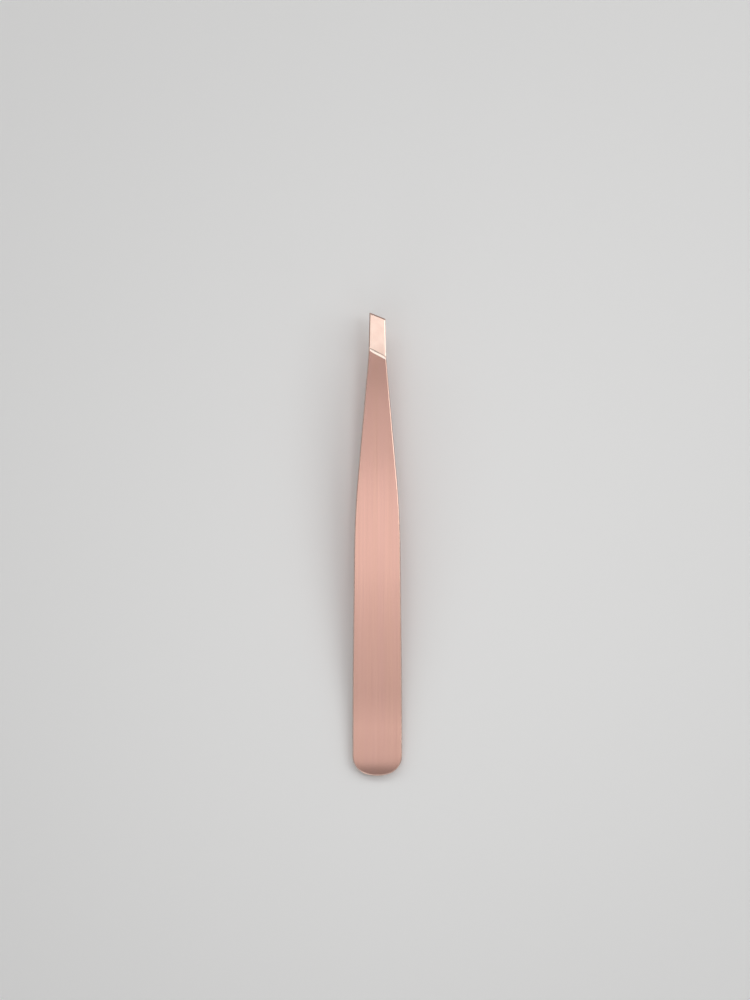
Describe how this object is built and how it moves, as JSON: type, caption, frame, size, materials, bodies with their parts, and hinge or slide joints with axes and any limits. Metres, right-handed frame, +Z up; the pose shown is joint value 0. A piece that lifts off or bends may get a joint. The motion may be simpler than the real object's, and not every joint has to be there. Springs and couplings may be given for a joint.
{
  "type": "slant tweezers",
  "caption": "Slant tweezers lying at rest: bowed spring arms, spot-welded at the heel, draw in to slanted tips, bevelled outside and ground flat inside to grip.",
  "frame": {"origin": "under the middle of the tool's box, on the surface that the tool lies on", "axes": "+X along the length towards the tips, +Y across the width towards the long corner of the slanted tips, +Z up, with the front arm above the rear arm"},
  "size_m": [0.095, 0.0102, 0.0119],
  "materials": {
    "plated_arm": "satin rose-gold plating, brushed lengthwise",
    "weld_steel": "bare weld metal"
  },
  "bodies": {
    "heel_weld": {"weld_spot_heel": "weld_steel", "weld_spot_throat": "weld_steel"},
    "front_arm": {"front_arm": "plated_arm"},
    "rear_arm": {"rear_arm": "plated_arm"}
  },
  "joints": [
    {"name": "front_flex", "type": "hinge", "parent": "heel_weld", "child": "front_arm", "pos_m": [-0.03554, 0, 0.00224], "axis": [0, 1, 0], "range_deg": [0, 2.39], "stiffness_Nm_per_rad": 3},
    {"name": "rear_flex", "type": "hinge", "parent": "heel_weld", "child": "rear_arm", "pos_m": [-0.03546, 0, 0.00112], "axis": [0, -1, 0], "range_deg": [0, 2.39], "stiffness_Nm_per_rad": 3}
  ]
}
